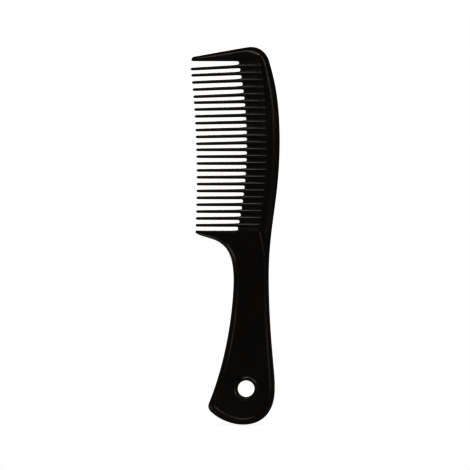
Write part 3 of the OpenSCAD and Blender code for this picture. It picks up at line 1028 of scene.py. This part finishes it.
class Shader:
    """Fills an emptied node tree. Inputs given as sockets are linked, others are set."""

    def __init__(self, owner):
        owner.use_nodes = True
        self.tree = owner.node_tree
        self.tree.nodes.clear()

    def add(self, kind, inputs=None, **settings):
        made = self.tree.nodes.new("ShaderNode" + kind)
        for setting, value in settings.items():
            setattr(made, setting, value)
        for socket, value in (inputs or {}).items():
            if isinstance(value, bpy.types.NodeSocket):
                self.tree.links.new(value, made.inputs[socket])
            else:
                made.inputs[socket].default_value = value
        return made

    def noise(self, vector, scale, detail, roughness=0.5, distortion=0.0):
        return self.add("TexNoise", {
            "Vector": vector, "Scale": scale, "Detail": detail,
            "Roughness": roughness, "Distortion": distortion}).outputs["Fac"]

    def ramp(self, value, dark_at, light_at, dark=0.0, light=1.0):
        made = self.add("ValToRGB", {"Fac": value})
        stops = ((dark_at, dark), (light_at, light))
        for element, (position, grey) in zip(made.color_ramp.elements, stops):
            element.position = position
            element.color = (grey, grey, grey, 1)
        return made.outputs["Color"]

    def math(self, operation, *values):
        inputs = dict(enumerate(values))
        return self.add("Math", inputs, operation=operation).outputs["Value"]

    def map_range(self, value, start, end, to_start, to_end, kind="LINEAR"):
        return self.add("MapRange", {
            "Value": value, "From Min": start, "From Max": end,
            "To Min": to_start, "To Max": to_end}, interpolation_type=kind).outputs["Result"]

    def smoothstep(self, value, start, end, to_start, to_end):
        return self.map_range(value, start, end, to_start, to_end, kind="SMOOTHSTEP")

    def mix_colour(self, factor, a, b):
        inputs = {"Factor": factor, "A": a, "B": b}
        return self.add("Mix", inputs, data_type="RGBA").outputs["Result"]

    def bump(self, height, distance, strength=1.0, **more):
        """Bump node; more may hold a normal to build on, and whether it is inverted."""
        inputs = {"Height": height, "Distance": distance, "Strength": strength}
        if "normal" in more:
            inputs["Normal"] = more["normal"]
        return self.add("Bump", inputs, invert=more.get("invert", False)).outputs["Normal"]

    def by_ray(self, seen_by_object, seen_by_camera):
        """Shader that differs between camera rays and all others."""
        camera_ray = self.add("LightPath").outputs["Is Camera Ray"]
        inputs = {"Fac": camera_ray, 1: seen_by_object, 2: seen_by_camera}
        return self.add("MixShader", inputs).outputs["Shader"]


# ---------------------------------------------------------------------------
# Plastic
# ---------------------------------------------------------------------------

def hairlines(shader, position, turn, scale, start, end):
    """Fine scratches: thin ridges of stretched noise, turned about Y."""
    mapped = shader.add("Mapping", {
        "Vector": position, "Rotation": (0.0, turn, 0.0), "Scale": scale}).outputs["Vector"]
    return shader.ramp(shader.noise(mapped, scale=1.0, detail=2.0), dark_at=start, light_at=end)


def black_plastic(name, base=(0.0185, 0.0190, 0.0192), rough=0.24, relief=1.0, specular=0.5,
                  rub=0.5):
    """Moulded black plastic: uneven gloss, orange peel, fine hairlines and rubbed edges."""
    material = bpy.data.materials.new(name)
    shader = Shader(material)
    position = shader.add("TexCoord").outputs["Object"]

    def tinted(red, green, blue):
        return (base[0] * red, base[1] * green, base[2] * blue, 1)

    # soft clouding in the moulded colour
    cloud = shader.noise(position, scale=55.0, detail=4.0, roughness=0.55)
    colour = shader.mix_colour(shader.ramp(cloud, dark_at=0.35, light_at=0.68),
                               tinted(0.78, 0.78, 0.80), tinted(1.28, 1.24, 1.18))

    # rubbed edges: a little paler and duller where the surface turns sharply
    pointiness = shader.add("NewGeometry").outputs["Pointiness"]
    edges = shader.ramp(pointiness, dark_at=0.52, light_at=0.60)
    patches = shader.noise(position, scale=420.0, detail=3.0, roughness=0.7)
    patches = shader.ramp(patches, dark_at=0.42, light_at=0.62)
    wear = shader.math("MULTIPLY", shader.math("MULTIPLY", edges, patches), rub)
    colour = shader.mix_colour(wear, colour, tinted(3.0, 2.8, 2.6))

    # uneven gloss: smears at two scales, duller on hairlines and rubbed edges
    smear = shader.noise(position, scale=24.0, detail=6.0, roughness=0.62, distortion=0.6)
    smear = shader.map_range(smear, 0.3, 0.72, to_start=rough * 0.82, to_end=rough * 1.30)
    fine = shader.noise(position, scale=900.0, detail=2.0)
    fine = shader.map_range(fine, 0.3, 0.7, to_start=-0.02, to_end=0.03)
    scratches = shader.math(
        "MAXIMUM",
        hairlines(shader, position, turn=0.35, scale=(2600.0, 900.0, 55.0), start=0.66, end=0.72),
        hairlines(shader, position, turn=-0.9, scale=(2100.0, 900.0, 70.0), start=0.69, end=0.75))
    gloss = shader.math("ADD", smear, fine)
    gloss = shader.math("MULTIPLY_ADD", scratches, 0.10, gloss)
    gloss = shader.math("MULTIPLY_ADD", wear, 0.25, gloss)

    # relief: orange peel, flow waviness and the hairlines
    peel = shader.noise(position, scale=620.0, detail=2.0, roughness=0.45)
    wave = shader.noise(position, scale=70.0, detail=2.0, roughness=0.4)
    normal = shader.bump(peel, distance=0.000012 * relief)
    normal = shader.bump(wave, distance=0.00006 * relief, normal=normal)
    normal = shader.bump(scratches, distance=0.000006, strength=0.35, normal=normal, invert=True)

    surface = shader.add("BsdfPrincipled", {
        "Base Color": (*base, 1),
        "Roughness": rough,
        "IOR": 1.5,
        "Specular IOR Level": specular,
        "Coat Weight": 0.12,
        "Coat Roughness": 0.12,
        "Normal": normal,
        "Coat Normal": normal,
    })
    # the plain colour and roughness stay as the values beneath these links
    shader.tree.links.new(colour, surface.inputs["Base Color"])
    shader.tree.links.new(gloss, surface.inputs["Roughness"])
    shader.add("OutputMaterial", {"Surface": surface.outputs["BSDF"]})
    return material


MAT_BODY = black_plastic("black_plastic_satin_gloss")
MAT_PANEL = black_plastic("black_plastic_panel", rub=0.0)
# painted light: the ribbed web gets a paler, warmer base than the same plastic elsewhere, painted
# lighter for the light its ribs catch
MAT_WEB_PAINTED_LIGHTER = black_plastic("black_plastic_ribbed_painted_lighter", base=(0.0215, 0.0212, 0.0208), rough=0.27,
                        rub=0.15)
MAT_TEETH = black_plastic("black_plastic_teeth", base=(0.0190, 0.0192, 0.0192), rough=0.23,
                          relief=0.7, specular=0.52)
NODE_MATERIALS = {"handle_panel": MAT_PANEL, "rib_web": MAT_WEB_PAINTED_LIGHTER, "teeth": MAT_TEETH}


# ---------------------------------------------------------------------------
# Pieces
# ---------------------------------------------------------------------------

def set_material(piece, material):
    piece.data.materials.clear()
    piece.data.materials.append(material)


def finish_piece(piece, material, replaced=None):
    set_material(piece, material)
    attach(piece, "root")
    if replaced:
        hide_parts(replaced)


for name in SPANS:
    finish_piece(strip_piece(name), MAT_BODY, name)
finish_piece(handle_panel(), MAT_PANEL, "handle_panel")
finish_piece(hang_hole_ring(), MAT_BODY, "hang_hole_ring")
finish_piece(rib_web(), MAT_WEB_PAINTED_LIGHTER, "rib_web")
for i in range(N_TEETH):
    finish_piece(tooth(i), MAT_TEETH, "teeth" if i == 0 else None)

# the hidden CAD nodes carry the same finish
for name, node in frame["nodes"].items():
    set_material(node, NODE_MATERIALS.get(name, MAT_BODY))


# ---------------------------------------------------------------------------
# Floor and surround: white to the camera, a dim warm room to the comb. Lengths in shaders,
# lights and camera are in metres.
# ---------------------------------------------------------------------------

WARM = (1.0, 0.90, 0.82)
FLOOR_GLOW = 0.42
ROOM_GLOW = 0.24


def floor_glow(shader):
    """Strength of the floor's light as the comb sees it."""
    position = shader.add("TexCoord").outputs["Object"]
    distance = shader.add("VectorMath", {0: position}, operation="LENGTH").outputs["Value"]
    split = shader.add("SeparateXYZ", {"Vector": position})
    x, y = split.outputs["X"], split.outputs["Y"]

    # bright near the comb and to its left, mostly in front of it
    near = shader.smoothstep(distance, 0.015, 0.065, to_start=0.95, to_end=0.0)
    left = shader.smoothstep(x, -0.042, -0.024, to_start=4.6, to_end=0.0)
    left_fade = shader.smoothstep(distance, 0.065, 0.13, to_start=1.0, to_end=0.0)
    near = shader.math("ADD", near, shader.math("MULTIPLY", left, left_fade))
    in_front = shader.smoothstep(y, -0.016, -0.003, to_start=1.0, to_end=0.15)
    near = shader.math("MULTIPLY", near, in_front)

    # falling off into the room
    far = shader.smoothstep(distance, 0.30, 1.1, to_start=FLOOR_GLOW, to_end=0.15)

    # bright patches along the floor's diagonals, where |xy| / distance squared nears a half
    xy = shader.math("ABSOLUTE", shader.math("MULTIPLY", x, y))
    diagonal = shader.math("DIVIDE", xy, shader.math("MULTIPLY", distance, distance))
    patch = shader.smoothstep(diagonal, 0.38, 0.485, to_start=0.0, to_end=1.0)
    patch_rise = shader.smoothstep(distance, 0.05, 0.30, to_start=0.0, to_end=2.9)
    patch_fade = shader.smoothstep(distance, 0.45, 1.1, to_start=1.0, to_end=0.0)
    patch = shader.math("MULTIPLY", shader.math("MULTIPLY", patch, patch_rise), patch_fade)
    return shader.math("ADD", shader.math("ADD", near, far), patch)


def floor_material():
    material = bpy.data.materials.new("studio_floor_white")
    shader = Shader(material)
    # the camera sees white with a faint contact shade and grain
    occlusion = shader.add("AmbientOcclusion", {"Distance": 0.030}, samples=16).outputs["AO"]
    shade = shader.ramp(occlusion, dark_at=0.0, light_at=0.85, dark=0.88)
    # the grain takes its place from the noise node's own coordinates
    grain = shader.add("TexNoise", {"Scale": 300.0, "Detail": 3.0}).outputs["Fac"]
    grain = shader.map_range(grain, 0.0, 1.0, to_start=0.998, to_end=1.01)
    white = shader.add("Emission", {"Color": shader.math("MULTIPLY", shade, grain)})
    glow = shader.add("Emission", {"Color": (*WARM, 1), "Strength": floor_glow(shader)})
    shader.add("OutputMaterial", {
        "Surface": shader.by_ray(glow.outputs["Emission"], white.outputs["Emission"])})
    return material


def studio_floor():
    """Level disc just under the comb, in rings that grow outwards."""
    segments = 96
    z = cad_lo[2] * 1000 - 0.02
    radii = [0.0] + [40 * 1.16 ** k for k in range(40)]
    mesh = MeshBuilder()
    for inner_r, outer_r in zip(radii[:-1], radii[1:]):
        for k in range(segments):
            a0, a1 = (2 * math.pi * j / segments for j in (k, k + 1))
            corners = ((inner_r, a0), (inner_r, a1), (outer_r, a1), (outer_r, a0))
            mesh.face([(r * math.cos(a), r * math.sin(a), z) for r, a in corners])
    return mesh.object("studio_floor", custom_normals=False)


def studio_world():
    """Room that is brighter overhead and towards +X and -X."""
    world = bpy.data.worlds.new("studio")
    bpy.context.scene.world = world
    shader = Shader(world)
    direction = shader.add("TexCoord").outputs["Generated"]
    up = shader.add("VectorMath", {0: direction, 1: (0, 0, 1)}, operation="DOT_PRODUCT")
    sky = shader.smoothstep(up.outputs["Value"], 0.0, 1.0,
                            to_start=ROOM_GLOW, to_end=ROOM_GLOW * 1.3)
    x = shader.add("SeparateXYZ", {"Vector": direction}).outputs["X"]
    sides = shader.smoothstep(shader.math("ABSOLUTE", x), 0.84, 1.0, to_start=0.0, to_end=0.5)
    room = shader.add("Background", {
        "Color": (*WARM, 1), "Strength": shader.math("ADD", sky, sides)})
    white = shader.add("Background", {"Color": (1, 1, 1, 1), "Strength": 1.0})
    shader.add("OutputWorld", {
        "Surface": shader.by_ray(room.outputs["Background"], white.outputs["Background"])})


floor = studio_floor()
floor.data.materials.append(floor_material())
studio_world()


# ---------------------------------------------------------------------------
# Lights and camera
# ---------------------------------------------------------------------------

LIGHT_DISTANCE = 1.25
CENTRE = Vector(((cad_lo[0] + cad_hi[0]) / 2, 0.0, (cad_lo[2] + cad_hi[2]) / 2))

# place, azimuth from the face it lights, elevation, size, power in front, share of it behind
SOFTBOXES = [
    ("left", -40, 4, 0.52, 0.5, 0.45),
    ("right", 36, 15, 0.42, 1.0, 0.45),
    ("top", 0, 36, 0.56, 6.4, 0.7),
    ("corner", 29, 24, 0.52, 4.9, 0.7),
]


def softbox(name, azimuth, elevation, size, power):
    """Square soft box aimed at the comb's middle; azimuth is from the front, in degrees."""
    data = bpy.data.lights.new(name, "AREA")
    data.shape = "SQUARE"
    data.size = size
    data.energy = power
    data.color = WARM
    light = bpy.data.objects.new(name, data)
    bpy.context.scene.collection.objects.link(light)
    a, e = math.radians(azimuth), math.radians(elevation)
    direction = Vector((math.sin(a) * math.cos(e), -math.cos(a) * math.cos(e), math.sin(e)))
    light.location = CENTRE + direction * LIGHT_DISTANCE
    light.rotation_euler = direction.to_track_quat("Z", "Y").to_euler()
    light.visible_camera = False


for face, turn in (("front", 0), ("back", 180)):
    for place, azimuth, elevation, size, power, back_share in SOFTBOXES:
        softbox(f"{face}_{place}_softbox", turn + azimuth, elevation, size,
                power * (1.0 if face == "front" else back_share))


def add_camera():
    """Long lens, square on to the front face."""
    view_width = 0.2684
    data = bpy.data.cameras.new("camera")
    camera = bpy.data.objects.new("camera", data)
    bpy.context.scene.collection.objects.link(camera)
    data.lens = 200
    data.sensor_width = 36
    distance = view_width * data.lens / data.sensor_width
    camera.location = (-0.00636, cad_lo[1] - distance, 0.08788)
    camera.rotation_euler = (math.radians(90), 0, 0)
    data.clip_start = 0.01
    data.clip_end = 100
    bpy.context.scene.camera = camera


add_camera()

view = bpy.context.scene.view_settings
view.view_transform = "Standard"
view.look = "None"
view.exposure = 0
view.gamma = 0.46
